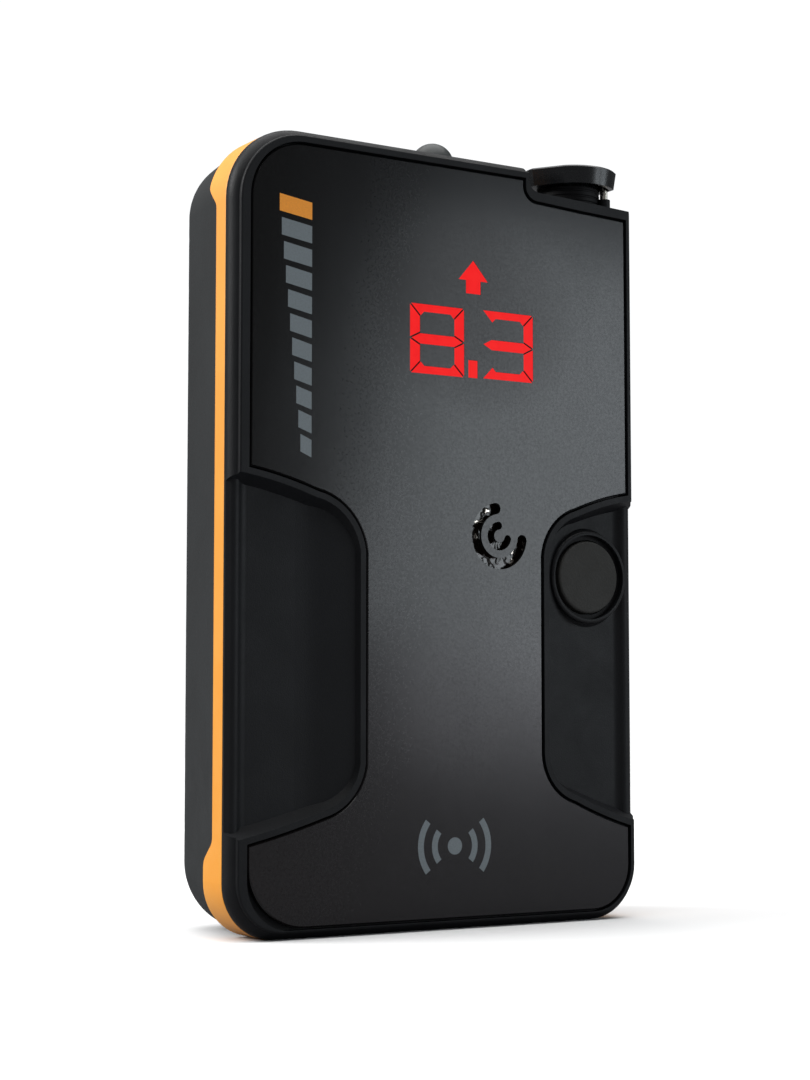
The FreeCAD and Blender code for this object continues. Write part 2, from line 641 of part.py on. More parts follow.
# curved track under the grip: the fixed stop pin rides in it, and its ends limit the turn
TURN = 75.0
TRACK_HALF = PIN_R + 0.25
track = rod_z(KNOB_X, KNOB_DEPTH, PIN_ORBIT + TRACK_HALF, KNOB_UNDER - 0.2, KNOB_UNDER + 1.1)
track = track.cut(rod_z(KNOB_X, KNOB_DEPTH, PIN_ORBIT - TRACK_HALF, 110, 120))
wedge = Part.makeCylinder(12, 6, V(KNOB_X, y_at(KNOB_DEPTH), 112), V(0, 0, 1), TURN)
wedge.rotate(V(KNOB_X, y_at(KNOB_DEPTH), 0), V(0, 0, 1), math.degrees(PIN_ANGLE) - TURN)
track = track.common(wedge)
for a in (PIN_ANGLE, PIN_ANGLE - math.radians(TURN)):
    x = KNOB_X + PIN_ORBIT * math.cos(a)
    depth = KNOB_DEPTH + PIN_ORBIT * math.sin(a)
    track = track.fuse(rod_z(x, depth, TRACK_HALF, KNOB_UNDER - 0.2, KNOB_UNDER + 1.1))
knob = knob.cut(track)
save("selector_knob", knob)

pin = rod_z(pin_x, pin_depth, PIN_R, 108.2, KNOB_UNDER + 0.7)
save("stop_pin", pin.makeFillet(0.2, [pin.Edges[0]]))
bushing = fuse_all([
    rod_z(KNOB_X, KNOB_DEPTH, 3.3, 105.5, 110.2),
    rod_z(KNOB_X, KNOB_DEPTH, 3.6, 105.0, 106.4),
])
bushing = bushing.cut(rod_z(KNOB_X, KNOB_DEPTH, 2.06, 100, 112))
save("selector_bushing", bushing)
o_ring = Part.makeTorus(1.72, 0.31, V(KNOB_X, y_at(KNOB_DEPTH), 108.6), V(0, 0, 1))
save("selector_o_ring", o_ring)

# ribbed rubber collar round the neck, relieved where the pin's seat stands
collar_r = 4.95
wiper = rod_z(KNOB_X, KNOB_DEPTH, collar_r, 109.5, KNOB_UNDER - 0.1)
wiper = wiper.cut(rod_z(KNOB_X, KNOB_DEPTH, NECK_R + 0.08, 109, 115))
for z in (111.5, 112.4, 113.3):
    wiper = wiper.cut(Part.makeTorus(collar_r + 0.05, 0.2, V(KNOB_X, y_at(KNOB_DEPTH), z), V(0, 0, 1)))
wiper = wiper.common(notch_block(0, -1, 40)).cut(rod_z(pin_x, pin_depth, 1.08, 109, PIN_SEAT + 0.05))
wiper = wiper.cut(rod_z(pin_x, pin_depth, PIN_R + 0.1, 109, 115))
save("selector_wiper", wiper)
wheel = rod_z(KNOB_X, KNOB_DEPTH, 3.5, 99.0, 101.6).cut(rod_z(KNOB_X, KNOB_DEPTH, 2.0, 98, 103))
for a in (125, 162.5, 200):
    x = KNOB_X + 3.9 * math.cos(math.radians(a))
    y = 3.9 * math.sin(math.radians(a))
    wheel = wheel.cut(rod_z(x, KNOB_DEPTH + y, 0.8, 98, 103))
wheel = wheel.cut(rod_z(KNOB_X + 2.0, KNOB_DEPTH + 1.9, 0.6, 98, 100.6))
save("detent_wheel", wheel)
save("selector_magnet", rod_z(KNOB_X + 2.0, KNOB_DEPTH + 1.9, 0.6, 99.1, 100.6))

NOSE_A = math.radians(200)
nose_x = KNOB_X + 4.25 * math.cos(NOSE_A)
nose_depth = KNOB_DEPTH + 4.25 * math.sin(NOSE_A)
save("detent_spring", fuse_all([
    box(nose_x - 0.7, 25.8, nose_depth + 0.9, nose_depth + 3.2, 104.6, 105.0),
    box(nose_x - 0.7, nose_x - 0.45, nose_depth - 0.6, nose_depth + 3.2, 99.0, 105.0),
    rod_z(nose_x, nose_depth, 0.6, 99.2, 101.4),
]))

# ---- top light pipe and lamp --------------------------------------------------

dome_h = PIPE_TOP - HEIGHT + 0.2
ball_r = (PIPE_R * PIPE_R + dome_h * dome_h) / (2 * dome_h)
ball = Part.makeSphere(ball_r, V(PIPE_X, y_at(PIPE_DEPTH), PIPE_TOP - ball_r))
pipe = rod_z(PIPE_X, PIPE_DEPTH, PIPE_R, 108.0, 120).common(
    ball.fuse(rod_z(PIPE_X, PIPE_DEPTH, 10, 100, HEIGHT - 0.2)))
pipe = fuse_all([pipe, rod_z(PIPE_X, PIPE_DEPTH, 3.45, 108.5, 110.0)])
pipe = pipe.cut(rod_z(PIPE_X, PIPE_DEPTH, 1.8, 106, 111.0))
save("light_pipe", pipe)
save("status_lamp", fuse_all([
    rod_z(PIPE_X, PIPE_DEPTH, 1.5, 106.0, 109.6),
    rod_z(PIPE_X, PIPE_DEPTH, 1.9, 105.2, 106.4),
]))

# ---- speaker ------------------------------------------------------------------

mesh_disc = rod_y(SPEAKER_X, SPEAKER_Z, 5.8, PLATE_BACK + 0.05, PLATE_BACK + 0.45)
save("speaker_membrane", mesh_disc)
frame = ring_y(SPEAKER_X, SPEAKER_Z, 10.0, 8.2, FRONT_FLOOR + 0.05, 5.6)
frame = fuse_all([frame, rod_y(SPEAKER_X, SPEAKER_Z, 10.0, 5.4, 6.2)])
frame = frame.cut(rod_y(SPEAKER_X, SPEAKER_Z, 3.6, 5, 7))
frame = frame.cut(box(14.6, 40, 0, 4.0, 30, 80))
save("speaker_frame", frame)
save("speaker_magnet", rod_y(SPEAKER_X, SPEAKER_Z, 3.5, 4.6, 7.3))
cone = Part.makeCone(7.9, 3.6, 1.1, V(SPEAKER_X, y_at(3.4), SPEAKER_Z), V(0, 1, 0))
hollow_cone = Part.makeCone(7.6, 3.3, 1.1, V(SPEAKER_X, y_at(3.1), SPEAKER_Z), V(0, 1, 0))
cone = cone.cut(hollow_cone).cut(box(14.5, 40, 0, 9, 30, 80))
save("speaker_cone", cone)

# ---- main board -----------------------------------------------------------------

board = rounded_block(-30.5, 30.5, 7.0, 103.5, 3.0, BOARD_FRONT, BOARD_BACK)
board = board.cut(box(19.5, 40, 0, 20, 92.0, 120))
for x, z in SCREWS:
    board = board.cut(rod_y(x, z, 3.3, 0, 20))
board = board.cut(box(19.8, 40, 0, 20, -5, 19.2))
for i in range(10):
    for z in (80.0, 100.4):
        board = board.cut(rod_y(-6.9 + 2.54 * i, z, 0.35, 0, 20))
save("main_board", board)

shield = box(-24, -4, 4.6, BOARD_FRONT, 30, 52)
save("radio_shield", shield.makeFillet(0.6, [e for e in shield.Edges if e.BoundBox.YMax < y_at(4.7)]))
chips = [
    box(-8, 2, 6.4, BOARD_FRONT, 62, 72),
    box(-20, -13, 6.5, BOARD_FRONT, 60, 66),
    box(2, 8, 6.6, BOARD_FRONT, 22, 27),
    box(-22, -15, 6.2, BOARD_FRONT, 86, 96),
]
for i in range(6):
    chips.append(box(-20.6 + 3.2 * i, -19.0 + 3.2 * i, 7.0, BOARD_FRONT, 20, 22.8))
save("board_chips", Part.makeCompound(chips))
capacitors = []
for x, z in ((8, 36), (14, 36), (11, 29)):
    capacitors.append(rod_y(x, z, 2.2, 4.4, BOARD_FRONT))
save("board_capacitors", Part.makeCompound(capacitors))

# ---- three crossed antennas -------------------------------------------------------

LONG_X = -25.6
LONG_DEPTH = 15.6
rod1 = rod_z(LONG_X, LONG_DEPTH, 2.9, 31.0, 95.0)
save("tall_ferrite", rod1)
save("tall_winding", rod_z(LONG_X, LONG_DEPTH, 4.1, 37.0, 89.0).cut(rod_z(LONG_X, LONG_DEPTH, 2.93, 30, 96)))
WIDE_Z = 103.4
WIDE_DEPTH = 16.2
rod2 = rod_x(WIDE_DEPTH, WIDE_Z, 2.9, -20.0, 21.0)
save("wide_ferrite", rod2)
wide_sleeve = rod_x(WIDE_DEPTH, WIDE_Z, 4.1, -15.0, 16.0)
save("wide_winding", wide_sleeve.cut(rod_x(WIDE_DEPTH, WIDE_Z, 2.93, -21, 22)))
COIL_X = 23.6
COIL_Z = 54.0
COIL_R = 4.8
save("short_ferrite", rod_y(COIL_X, COIL_Z, 3.0, 10.4, 22.0))
save("short_winding", ring_y(COIL_X, COIL_Z, COIL_R, 3.03, 11.6, 19.8))
saddles = []
for z in (33.4, 92.4):
    saddle = box(LONG_X - 4.3, LONG_X + 4.3, BOARD_BACK, LONG_DEPTH + 1.5, z - 1.8, z + 1.8)
    saddles.append(saddle.cut(rod_z(LONG_X, LONG_DEPTH, 2.95, 20, 100)))
for x in (-17.4, 18.4):
    saddle = box(x - 1.8, x + 1.8, BOARD_BACK, WIDE_DEPTH + 1.5, WIDE_Z - 4.3, WIDE_Z + 4.3)
    if x > 0:
        saddle = box(x - 1.8, x + 1.0, BOARD_BACK, WIDE_DEPTH + 1.5, WIDE_Z - 4.3, WIDE_Z + 4.3)
    saddles.append(saddle.cut(rod_x(WIDE_DEPTH, WIDE_Z, 2.95, -30, 30)))
coil_base = rod_y(COIL_X, COIL_Z, COIL_R, BOARD_BACK, 11.5).cut(rod_y(COIL_X, COIL_Z, 3.05, 10.35, 12))
saddles.append(coil_base)
save("antenna_saddles", Part.makeCompound(saddles))

# ---- housing screws ------------------------------------------------------------------

screws = []
for x, z in SCREWS:
    head = rod_y(x, z, 2.4, 23.65, 25.3)
    head = head.cut(Part.makeBox(0.7, 2, 3.0, V(x - 0.35, y_at(24.5), z - 1.5)))
    head = head.cut(Part.makeBox(3.0, 2, 0.7, V(x - 1.5, y_at(24.5), z - 0.35)))
    screws.append(fuse_all([head, rod_y(x, z, 1.1, 5.0, 23.7)]))
save("housing_screws", Part.makeCompound(screws))
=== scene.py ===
import json
import math
import random

import bmesh
import bpy
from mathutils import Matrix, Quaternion, Vector


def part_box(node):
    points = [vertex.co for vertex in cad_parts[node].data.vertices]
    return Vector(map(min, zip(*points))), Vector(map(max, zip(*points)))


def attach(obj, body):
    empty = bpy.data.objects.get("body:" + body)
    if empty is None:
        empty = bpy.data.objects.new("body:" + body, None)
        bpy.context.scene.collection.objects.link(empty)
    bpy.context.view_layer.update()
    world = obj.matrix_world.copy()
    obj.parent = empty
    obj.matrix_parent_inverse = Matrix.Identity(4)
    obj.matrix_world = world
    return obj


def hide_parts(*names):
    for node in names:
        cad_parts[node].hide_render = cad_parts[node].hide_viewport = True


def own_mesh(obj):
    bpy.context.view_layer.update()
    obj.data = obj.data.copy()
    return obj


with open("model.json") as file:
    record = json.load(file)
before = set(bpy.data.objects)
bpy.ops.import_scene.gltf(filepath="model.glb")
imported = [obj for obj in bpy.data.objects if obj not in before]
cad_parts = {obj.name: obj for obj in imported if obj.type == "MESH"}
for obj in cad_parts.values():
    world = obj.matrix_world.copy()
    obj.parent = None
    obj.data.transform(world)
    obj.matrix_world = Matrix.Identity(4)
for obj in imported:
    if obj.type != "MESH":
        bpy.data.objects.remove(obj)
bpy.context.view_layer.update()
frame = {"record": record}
random.seed(7)

MM = 0.001
RECORD = frame["record"]
SLOT_OF = {entry["node"]: entry["material_slot"] for entry in RECORD["subparts"]}
PLATE_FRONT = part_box("face_plate")[0][1]
INK_LIFT = 0.012 * MM


# ---- node helpers --------------------------------------------------------------


class Graph:
    """A material's node tree with short calls for the nodes used here."""

    def __init__(self, name):
        self.material = bpy.data.materials.new(name)
        self.material.use_nodes = True
        self.nodes = self.material.node_tree.nodes
        self.links = self.material.node_tree.links
        self.shader = self.nodes["Principled BSDF"]
        self.place = self.nodes.new("ShaderNodeTexCoord").outputs["Object"]

    def link(self, a, b):
        self.links.new(a, b)

    def put(self, socket, value):
        if isinstance(value, bpy.types.NodeSocket):
            self.link(value, socket)
        else:
            socket.default_value = value

    def noise(self, scale, detail=2.0, rough=0.5, stretch=None, distort=0.0):
        node = self.nodes.new("ShaderNodeTexNoise")
        node.inputs["Scale"].default_value = scale
        node.inputs["Detail"].default_value = detail
        node.inputs["Roughness"].default_value = rough
        node.inputs["Distortion"].default_value = distort
        place = self.place
        if stretch:
            mapping = self.nodes.new("ShaderNodeMapping")
            mapping.inputs["Scale"].default_value = stretch
            self.link(place, mapping.inputs["Vector"])
            place = mapping.outputs["Vector"]
        self.link(place, node.inputs["Vector"])
        return node.outputs["Fac"]

    def ramp(self, value, low, high, to_low=0.0, to_high=1.0):
        node = self.nodes.new("ShaderNodeMapRange")
        node.clamp = True
        self.link(value, node.inputs["Value"])
        node.inputs["From Min"].default_value = low
        node.inputs["From Max"].default_value = high
        node.inputs["To Min"].default_value = to_low
        node.inputs["To Max"].default_value = to_high
        return node.outputs["Result"]

    def blend(self, amount, a, b):
        node = self.nodes.new("ShaderNodeMix")
        node.data_type = "RGBA"
        self.put(node.inputs["Factor"], amount)
        for socket, colour in ((node.inputs["A"], a), (node.inputs["B"], b)):
            linked = isinstance(colour, bpy.types.NodeSocket)
            self.put(socket, colour if linked else (*colour, 1.0))
        return node.outputs["Result"]

    def maths(self, operation, a, b):
        node = self.nodes.new("ShaderNodeMath")
        node.operation = operation
        self.put(node.inputs[0], a)
        self.put(node.inputs[1], b)
        return node.outputs["Value"]

    def axis(self, name):
        node = self.nodes.new("ShaderNodeSeparateXYZ")
        self.link(self.place, node.inputs[0])
        return node.outputs[name]

    def oval(self, x, z, wide, high):
        """1 in the middle of a soft oval round (x, z), 0 outside it."""
        across = self.maths("DIVIDE", self.maths("SUBTRACT", self.axis("X"), x), wide)
        up = self.maths("DIVIDE", self.maths("SUBTRACT", self.axis("Z"), z), high)
        away = self.maths("ADD", self.maths("MULTIPLY", across, across),
                          self.maths("MULTIPLY", up, up))
        return self.ramp(away, 0.1, 1.0, 1.0, 0.0)

    def facing_front(self):
        """1 on surfaces that look towards -Y, 0 on the walls of openings."""
        split = self.nodes.new("ShaderNodeSeparateXYZ")
        self.link(self.nodes.new("ShaderNodeTexCoord").outputs["Normal"], split.inputs[0])
        return self.ramp(split.outputs["Y"], -0.45, -0.15, 1.0, 0.0)

    def bump(self, height, strength, distance, before=None):
        node = self.nodes.new("ShaderNodeBump")
        node.inputs["Strength"].default_value = strength
        node.inputs["Distance"].default_value = distance
        self.link(height, node.inputs["Height"])
        if before:
            self.link(before, node.inputs["Normal"])
        return node.outputs["Normal"]


def scaled(colour, k):
    return tuple(min(1.0, c * k) for c in colour)


def plastic(name, colour, rough, grain, depth, tone=0.18, marks=0.06, specular=0.5):
    """Moulded plastic: fine spark-eroded grain, slow tone shifts and faint handling marks."""
    g = Graph(name)
    slow = g.noise(60, 3, 0.55)
    g.put(g.shader.inputs["Base Color"],
          g.blend(g.ramp(slow, 0.3, 0.7), scaled(colour, 1 - tone), scaled(colour, 1 + tone)))
    patches = g.ramp(g.noise(140, 4, 0.6, distort=0.6), 0.35, 0.75, rough - marks, rough + marks)
    fine = g.noise(grain, 2, 0.6)
    spark = g.ramp(fine, 0.3, 0.7, -0.04, 0.04)
    g.link(g.maths("ADD", patches, spark), g.shader.inputs["Roughness"])
    g.shader.inputs["Specular IOR Level"].default_value = specular
    g.link(g.bump(fine, 0.55, depth), g.shader.inputs["Normal"])
    return g.material


def metal(name, colour, rough, lines=(1, 1, 1), tone=0.12):
    """Bare metal with turning or drawing lines along the stretched axis."""
    g = Graph(name)
    streak = g.noise(2600, 3, 0.6, stretch=lines)
    g.put(g.shader.inputs["Base Color"],
          g.blend(g.ramp(streak, 0.3, 0.7), scaled(colour, 1 - tone), scaled(colour, 1 + tone)))
    g.shader.inputs["Metallic"].default_value = 1.0
    g.link(g.ramp(streak, 0.25, 0.8, rough - 0.08, rough + 0.1), g.shader.inputs["Roughness"])
    g.link(g.bump(streak, 0.25, 0.00002), g.shader.inputs["Normal"])
    return g.material


# middle of the lit display and reach of the smoky window over it, as x and z in metres;
# the window also carries painted shade and a faint painted red glow
DISPLAY_MIDDLE = (0.006, 0.0905)
DISPLAY_REACH = (0.019, 0.0155)


def face_plate_gloss():
    """Back-painted acrylic: deep black, slow ripple, dust and hairlines, smoky over the display.

    Painted light in its colour: a sheen lighter to the right, a purple-brown reflection low down,
    near-black shade on the walls of openings, and painted shade with a faint red glow over the display.
    """
    g = Graph("plate_gloss")
    # painted sheen: the plate's colour grows lighter from left to right, as if lit from the right
    across = g.ramp(g.axis("X"), -0.034, 0.03)
    depth_tone = g.ramp(g.noise(26, 2, 0.5), 0.3, 0.7)
    # painted reflection: a purple-brown tint towards the bottom of the plate
    low_painted_reflection = g.ramp(g.axis("Z"), 0.075, 0.0)
    base = g.blend(across, (0.002, 0.0018, 0.0018), (0.017, 0.0185, 0.0205))
    base = g.blend(g.maths("MULTIPLY", low_painted_reflection, 0.55), base, (0.0135, 0.0105, 0.0115))
    base = g.blend(g.maths("MULTIPLY", depth_tone, 0.12), base, (0.02, 0.021, 0.023))
    dust = g.ramp(g.noise(5200, 1, 0.5), 0.76, 0.82)
    base = g.blend(g.maths("MULTIPLY", dust, 0.06), base, (0.16, 0.16, 0.165))
    # smoky window over the display: partly smoked plastic, partly painted shade with a faint painted red
    # glow from the digits; it also lowers the gloss there
    smoke_and_painted_shade = g.oval(*DISPLAY_MIDDLE, *DISPLAY_REACH)
    base = g.blend(g.maths("MULTIPLY", smoke_and_painted_shade, 0.5), base, (0.0085, 0.005, 0.0055))
    # painted shade: the walls of openings are coloured near black
    facing = g.facing_front()
    g.put(g.shader.inputs["Base Color"], g.blend(facing, (0.0015, 0.0015, 0.0015), base))
    wiped = g.noise(90, 5, 0.62, stretch=(1.0, 1.0, 0.35), distort=0.8)
    smear = g.ramp(wiped, 0.4, 0.75, 0.15, 0.17)
    g.link(g.maths("ADD", smear, g.ramp(facing, 0, 1, 0.42, 0)), g.shader.inputs["Roughness"])
    gloss = g.ramp(g.noise(2600, 2, 0.6), 0.32, 0.68, 0.25, 0.35)
    gloss = g.maths("MULTIPLY", gloss, g.ramp(smoke_and_painted_shade, 0, 1, 1.0, 0.72))
    g.link(gloss, g.shader.inputs["Specular IOR Level"])
    hair = g.noise(900, 2, 0.5, stretch=(1.0, 1.0, 0.03))
    ripple = g.bump(g.noise(34, 1, 0.4), 0.12, 0.0004)
    g.link(g.bump(hair, 0.03, 0.00001, ripple), g.shader.inputs["Normal"])
    return g.material


def rubber_orange():
    """Soft orange bumper: satin skin, fine pores, rubbed paler patches, painted light making it a little
    paler to the top.
    """
    g = Graph("bumper_orange")
    worn = g.ramp(g.noise(75, 4, 0.6), 0.42, 0.72)
    # painted light: the orange grows paler and yellower towards the top, as if lit from above
    high = g.ramp(g.axis("Z"), 0.005, 0.112)
    orange_with_painted_top_light = g.blend(high, (0.93, 0.355, 0.018), (0.94, 0.375, 0.050))
    base = g.blend(worn, orange_with_painted_top_light, (0.97, 0.42, 0.060))
    soil = g.ramp(g.noise(600, 3, 0.7), 0.66, 0.78)
    base = g.blend(g.maths("MULTIPLY", soil, 0.16), base, (0.55, 0.19, 0.03))
    g.put(g.shader.inputs["Base Color"], base)
    pores = g.noise(5200, 2, 0.55)
    g.link(g.ramp(pores, 0.3, 0.7, 0.42, 0.54), g.shader.inputs["Roughness"])
    g.shader.inputs["Sheen Weight"].default_value = 0.08
    g.link(g.bump(pores, 0.35, 0.00003), g.shader.inputs["Normal"])
    return g.material


def lit_red():
    """Lit light guide: even red glow with a slightly hotter core."""
    g = Graph("lit_red")
    core = g.ramp(g.noise(700, 1, 0.4), 0.3, 0.7)
    g.put(g.shader.inputs["Base Color"],
          g.blend(core, (0.22, 0.002, 0.002), (0.30, 0.004, 0.004)))
    g.put(g.shader.inputs["Emission Color"],
          g.blend(core, (1.0, 0.008, 0.010), (1.0, 0.016, 0.016)))
    g.shader.inputs["Emission Strength"].default_value = 0.74
    g.link(g.ramp(core, 0, 1, 0.28, 0.36), g.shader.inputs["Roughness"])
    g.shader.inputs["Specular IOR Level"].default_value = 0.08
    return g.material


def crinkled_film():
    """Dark waterproof film behind the sound slots, with small bright puckers that sparkle."""
    g = Graph("membrane_film")
    pucker = g.noise(720, 1, 0.5, distort=0.3)
    bright = g.ramp(pucker, 0.63, 0.69)
    g.put(g.shader.inputs["Base Color"],
          g.blend(bright, (0.006, 0.004, 0.003), (0.95, 0.88, 0.78)))
    g.link(bright, g.shader.inputs["Metallic"])
    g.link(g.ramp(pucker, 0.3, 0.7, 0.10, 0.22), g.shader.inputs["Roughness"])
    g.link(g.bump(pucker, 0.6, 0.0004), g.shader.inputs["Normal"])
    return g.material


def smoked_dome():
    """Smoked plastic dome: dark grey with a slow swirl and a satin skin."""
    g = Graph("smoked_dome")
    swirl = g.ramp(g.noise(420, 3, 0.6, distort=0.5), 0.3, 0.7)
    g.put(g.shader.inputs["Base Color"],
          g.blend(swirl, (0.028, 0.032, 0.032), (0.055, 0.06, 0.06)))
    g.link(g.ramp(swirl, 0, 1, 0.38, 0.50), g.shader.inputs["Roughness"])
    g.shader.inputs["Specular IOR Level"].default_value = 0.35
    g.link(g.bump(g.noise(900, 2, 0.5), 0.06, 0.00004), g.shader.inputs["Normal"])
    return g.material


def circuit_board():
    """Green solder mask, with the fibre weave under it showing as a faint paler grid."""
    g = Graph("circuit_board")
    weave = g.nodes.new("ShaderNodeTexBrick")
    weave.inputs["Scale"].default_value = 420
    weave.inputs["Mortar Size"].default_value = 0.03
    weave.inputs["Color1"].default_value = (0.012, 0.10, 0.035, 1)
    weave.inputs["Color2"].default_value = (0.010, 0.085, 0.03, 1)
    weave.inputs["Mortar"].default_value = (0.03, 0.19, 0.06, 1)
    turned = g.nodes.new("ShaderNodeMapping")
    turned.inputs["Rotation"].default_value = (math.radians(90), 0, 0)
    g.link(g.place, turned.inputs["Vector"])
    g.link(turned.outputs["Vector"], weave.inputs["Vector"])
    g.link(weave.outputs["Color"], g.shader.inputs["Base Color"])
    g.link(g.ramp(g.noise(800, 3), 0.3, 0.7, 0.25, 0.4), g.shader.inputs["Roughness"])
    g.link(g.bump(g.noise(2400, 1), 0.15, 0.00003), g.shader.inputs["Normal"])
    return g.material


def wound_wire(axis_name):
    """Close-wound enamelled wire: fine turns across the coil's own axis, with painted shade in the
    grooves between turns.
    """
    g = Graph("winding_" + axis_name.lower())
    turns = g.nodes.new("ShaderNodeTexWave")
    turns.bands_direction = axis_name
    turns.inputs["Scale"].default_value = 420
    turns.inputs["Distortion"].default_value = 0.4
    g.link(g.place, turns.inputs["Vector"])
    turns_and_groove_shade = turns.outputs["Fac"]
    # painted shade: the copper colour darkens in the grooves between turns
    g.put(g.shader.inputs["Base Color"], g.blend(turns_and_groove_shade, (0.16, 0.045, 0.015), (0.62, 0.22, 0.08)))
    g.shader.inputs["Metallic"].default_value = 0.8
    g.link(g.ramp(turns_and_groove_shade, 0, 1, 0.45, 0.25), g.shader.inputs["Roughness"])
    g.link(g.bump(turns_and_groove_shade, 0.8, 0.0001), g.shader.inputs["Normal"])
    return g.material


# height where the cell sleeve's pale end band starts, in metres
CELL_BAND = 0.0478


def cell_jacket():
    """Printed cell sleeve: dark body, pale band at one end, soft satin film."""
    g = Graph("cell_jacket")
    band = g.ramp(g.axis("Z"), CELL_BAND, CELL_BAND + 0.0001)
    base = g.blend(band, (0.02, 0.022, 0.026), (0.62, 0.60, 0.55))
    dirt = g.ramp(g.noise(300, 3), 0.3, 0.7)
    base = g.blend(g.maths("MULTIPLY", dirt, 0.15), base, (0.25, 0.24, 0.22))
    g.put(g.shader.inputs["Base Color"], base)
    g.shader.inputs["Metallic"].default_value = 0.35
    g.link(g.ramp(g.noise(1200, 2), 0.3, 0.7, 0.28, 0.42), g.shader.inputs["Roughness"])
    return g.material


def printed_ink(name, colour, specular=0.5):
    """Screen-printed ink: flat body, slightly ragged cover and matt surface."""
    g = Graph(name)
    cover = g.ramp(g.noise(3800, 3, 0.65), 0.35, 0.7)
    g.put(g.shader.inputs["Base Color"],
          g.blend(cover, scaled(colour, 0.86), scaled(colour, 1.08)))
    g.link(g.ramp(cover, 0, 1, 0.5, 0.38), g.shader.inputs["Roughness"])
    g.shader.inputs["Specular IOR Level"].default_value = specular
    g.link(g.bump(g.noise(5200, 2), 0.2, 0.00001), g.shader.inputs["Normal"])
    return g.material


FINISH = {
    "front_shell": plastic("front_shell_black", (0.0056, 0.0062, 0.0074), 0.50, 5200, 0.00005,
                           specular=0.19),
    "face_plate": face_plate_gloss(),
    "bumper": rubber_orange(),
    "rear_shell": plastic("rear_shell_grey", (0.0165, 0.0185, 0.0195), 0.66, 4400, 0.00006,
                          specular=0.3),
    "battery_door": plastic("door_grey", (0.0148, 0.0168, 0.0178), 0.62, 4400, 0.00006,
                            specular=0.3),
    "seal_rubber": plastic("seal_rubber", (0.006, 0.006, 0.007), 0.55, 3800, 0.00002,
                           specular=0.15),
    "label": plastic("label_film", (0.30, 0.31, 0.32), 0.38, 6500, 0.00001, tone=0.05),
    "lit_red": lit_red(),
    "display_body": plastic("display_body", (0.45, 0.45, 0.43), 0.5, 4200, 0.00002),
    "screw_steel": metal("screw_steel", (0.55, 0.55, 0.54), 0.32, (1, 0.1, 1)),
    "brass_insert": metal("brass_insert", (0.70, 0.50, 0.22), 0.3, (1, 0.1, 1)),
    "pin_steel": metal("pin_steel", (0.80, 0.76, 0.68), 0.22, (1, 1, 0.1)),
    "cell_jacket": cell_jacket(),
    "spring_steel": metal("spring_steel", (0.66, 0.66, 0.64), 0.24),
    "button_plastic": plastic("key_elastomer", (0.0275, 0.0275, 0.0255), 0.70, 3200, 0.00012,
                              tone=0.10, specular=0.3),
    "switch_body": plastic("switch_body", (0.02, 0.02, 0.02), 0.4, 4200, 0.00002),
    "knob_plastic": plastic("knob_plastic", (0.0025, 0.0032, 0.0042), 0.27, 4600, 0.00002,
                            marks=0.03, specular=0.4),
    "bushing_plastic": plastic("acetal", (0.42, 0.41, 0.38), 0.45, 3600, 0.00002),
    "magnet": metal("nickel", (0.62, 0.61, 0.58), 0.2),
    "smoke_lens": smoked_dome(),
    "lamp_lens": plastic("lamp_lens", (0.6, 0.58, 0.52), 0.2, 2400, 0.00001),
    "membrane": crinkled_film(),
    "speaker_plastic": plastic("speaker_plastic", (0.03, 0.03, 0.03), 0.5, 4200, 0.00003),
    "cone_film": plastic("cone_film", (0.20, 0.18, 0.14), 0.35, 3000, 0.00003),
    "board": circuit_board(),
    "shield_metal": metal("tinned_shield", (0.68, 0.67, 0.64), 0.3),
    "chip_black": plastic("chip_epoxy", (0.012, 0.012, 0.013), 0.5, 6200, 0.00003),
    "ferrite": plastic("ferrite", (0.03, 0.028, 0.027), 0.45, 2600, 0.00006),
}
WINDINGS = {"tall_winding": "Z", "wide_winding": "X", "short_winding": "Y"}

for node, slot_name in SLOT_OF.items():
    finish = wound_wire(WINDINGS[node]) if node in WINDINGS else FINISH[slot_name]
    piece = bpy.data.objects[node]
    if not piece.material_slots:
        piece.data.materials.append(finish)
    for material_slot in piece.material_slots:
        material_slot.link = "OBJECT"
        material_slot.material = finish


# ---- printed graphics ------------------------------------------------------------


def flat_print(name, polygons, y, facing, finish, body):
    """Thin printed shapes: closed outlines in millimetres, given as (x, z) points."""
    mesh = bpy.data.meshes.new(name)
    work = bmesh.new()
    for points in polygons:
        corners = [work.verts.new((p[0] * MM, y, p[1] * MM)) for p in points]
        face = work.faces.new(corners)
        face.normal_update()
        if face.normal.y * facing < 0:
            face.normal_flip()
    work.to_mesh(mesh)
    work.free()
    obj = bpy.data.objects.new(name, mesh)
    bpy.context.collection.objects.link(obj)
    mesh.materials.append(finish)
    thicken = obj.modifiers.new("ink", "SOLIDIFY")
    thicken.thickness = INK_LIFT * 0.8
    thicken.offset = -1.0
    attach(obj, body)


def ring_strip(cx, cz, r_in, r_out, start, end, steps=14):
    """Quads along an arc of a flat ring, with its angles in degrees."""
    angles = [math.radians(start + (end - start) * i / steps) for i in range(steps + 1)]
    quads = []
    for a, b in zip(angles, angles[1:]):
        quads.append([(cx + r_in * math.cos(a), cz + r_in * math.sin(a)),
                      (cx + r_out * math.cos(a), cz + r_out * math.sin(a)),
                      (cx + r_out * math.cos(b), cz + r_out * math.sin(b)),
                      (cx + r_in * math.cos(b), cz + r_in * math.sin(b))])
    return quads


def disc(cx, cz, r, steps=28):
    angles = [2 * math.pi * i / steps for i in range(steps)]
    return [[(cx + r * math.cos(a), cz + r * math.sin(a)) for a in angles]]


def upright_box(left, low, right, high):
    return [(left, low), (right, low), (right, high), (left, high)]


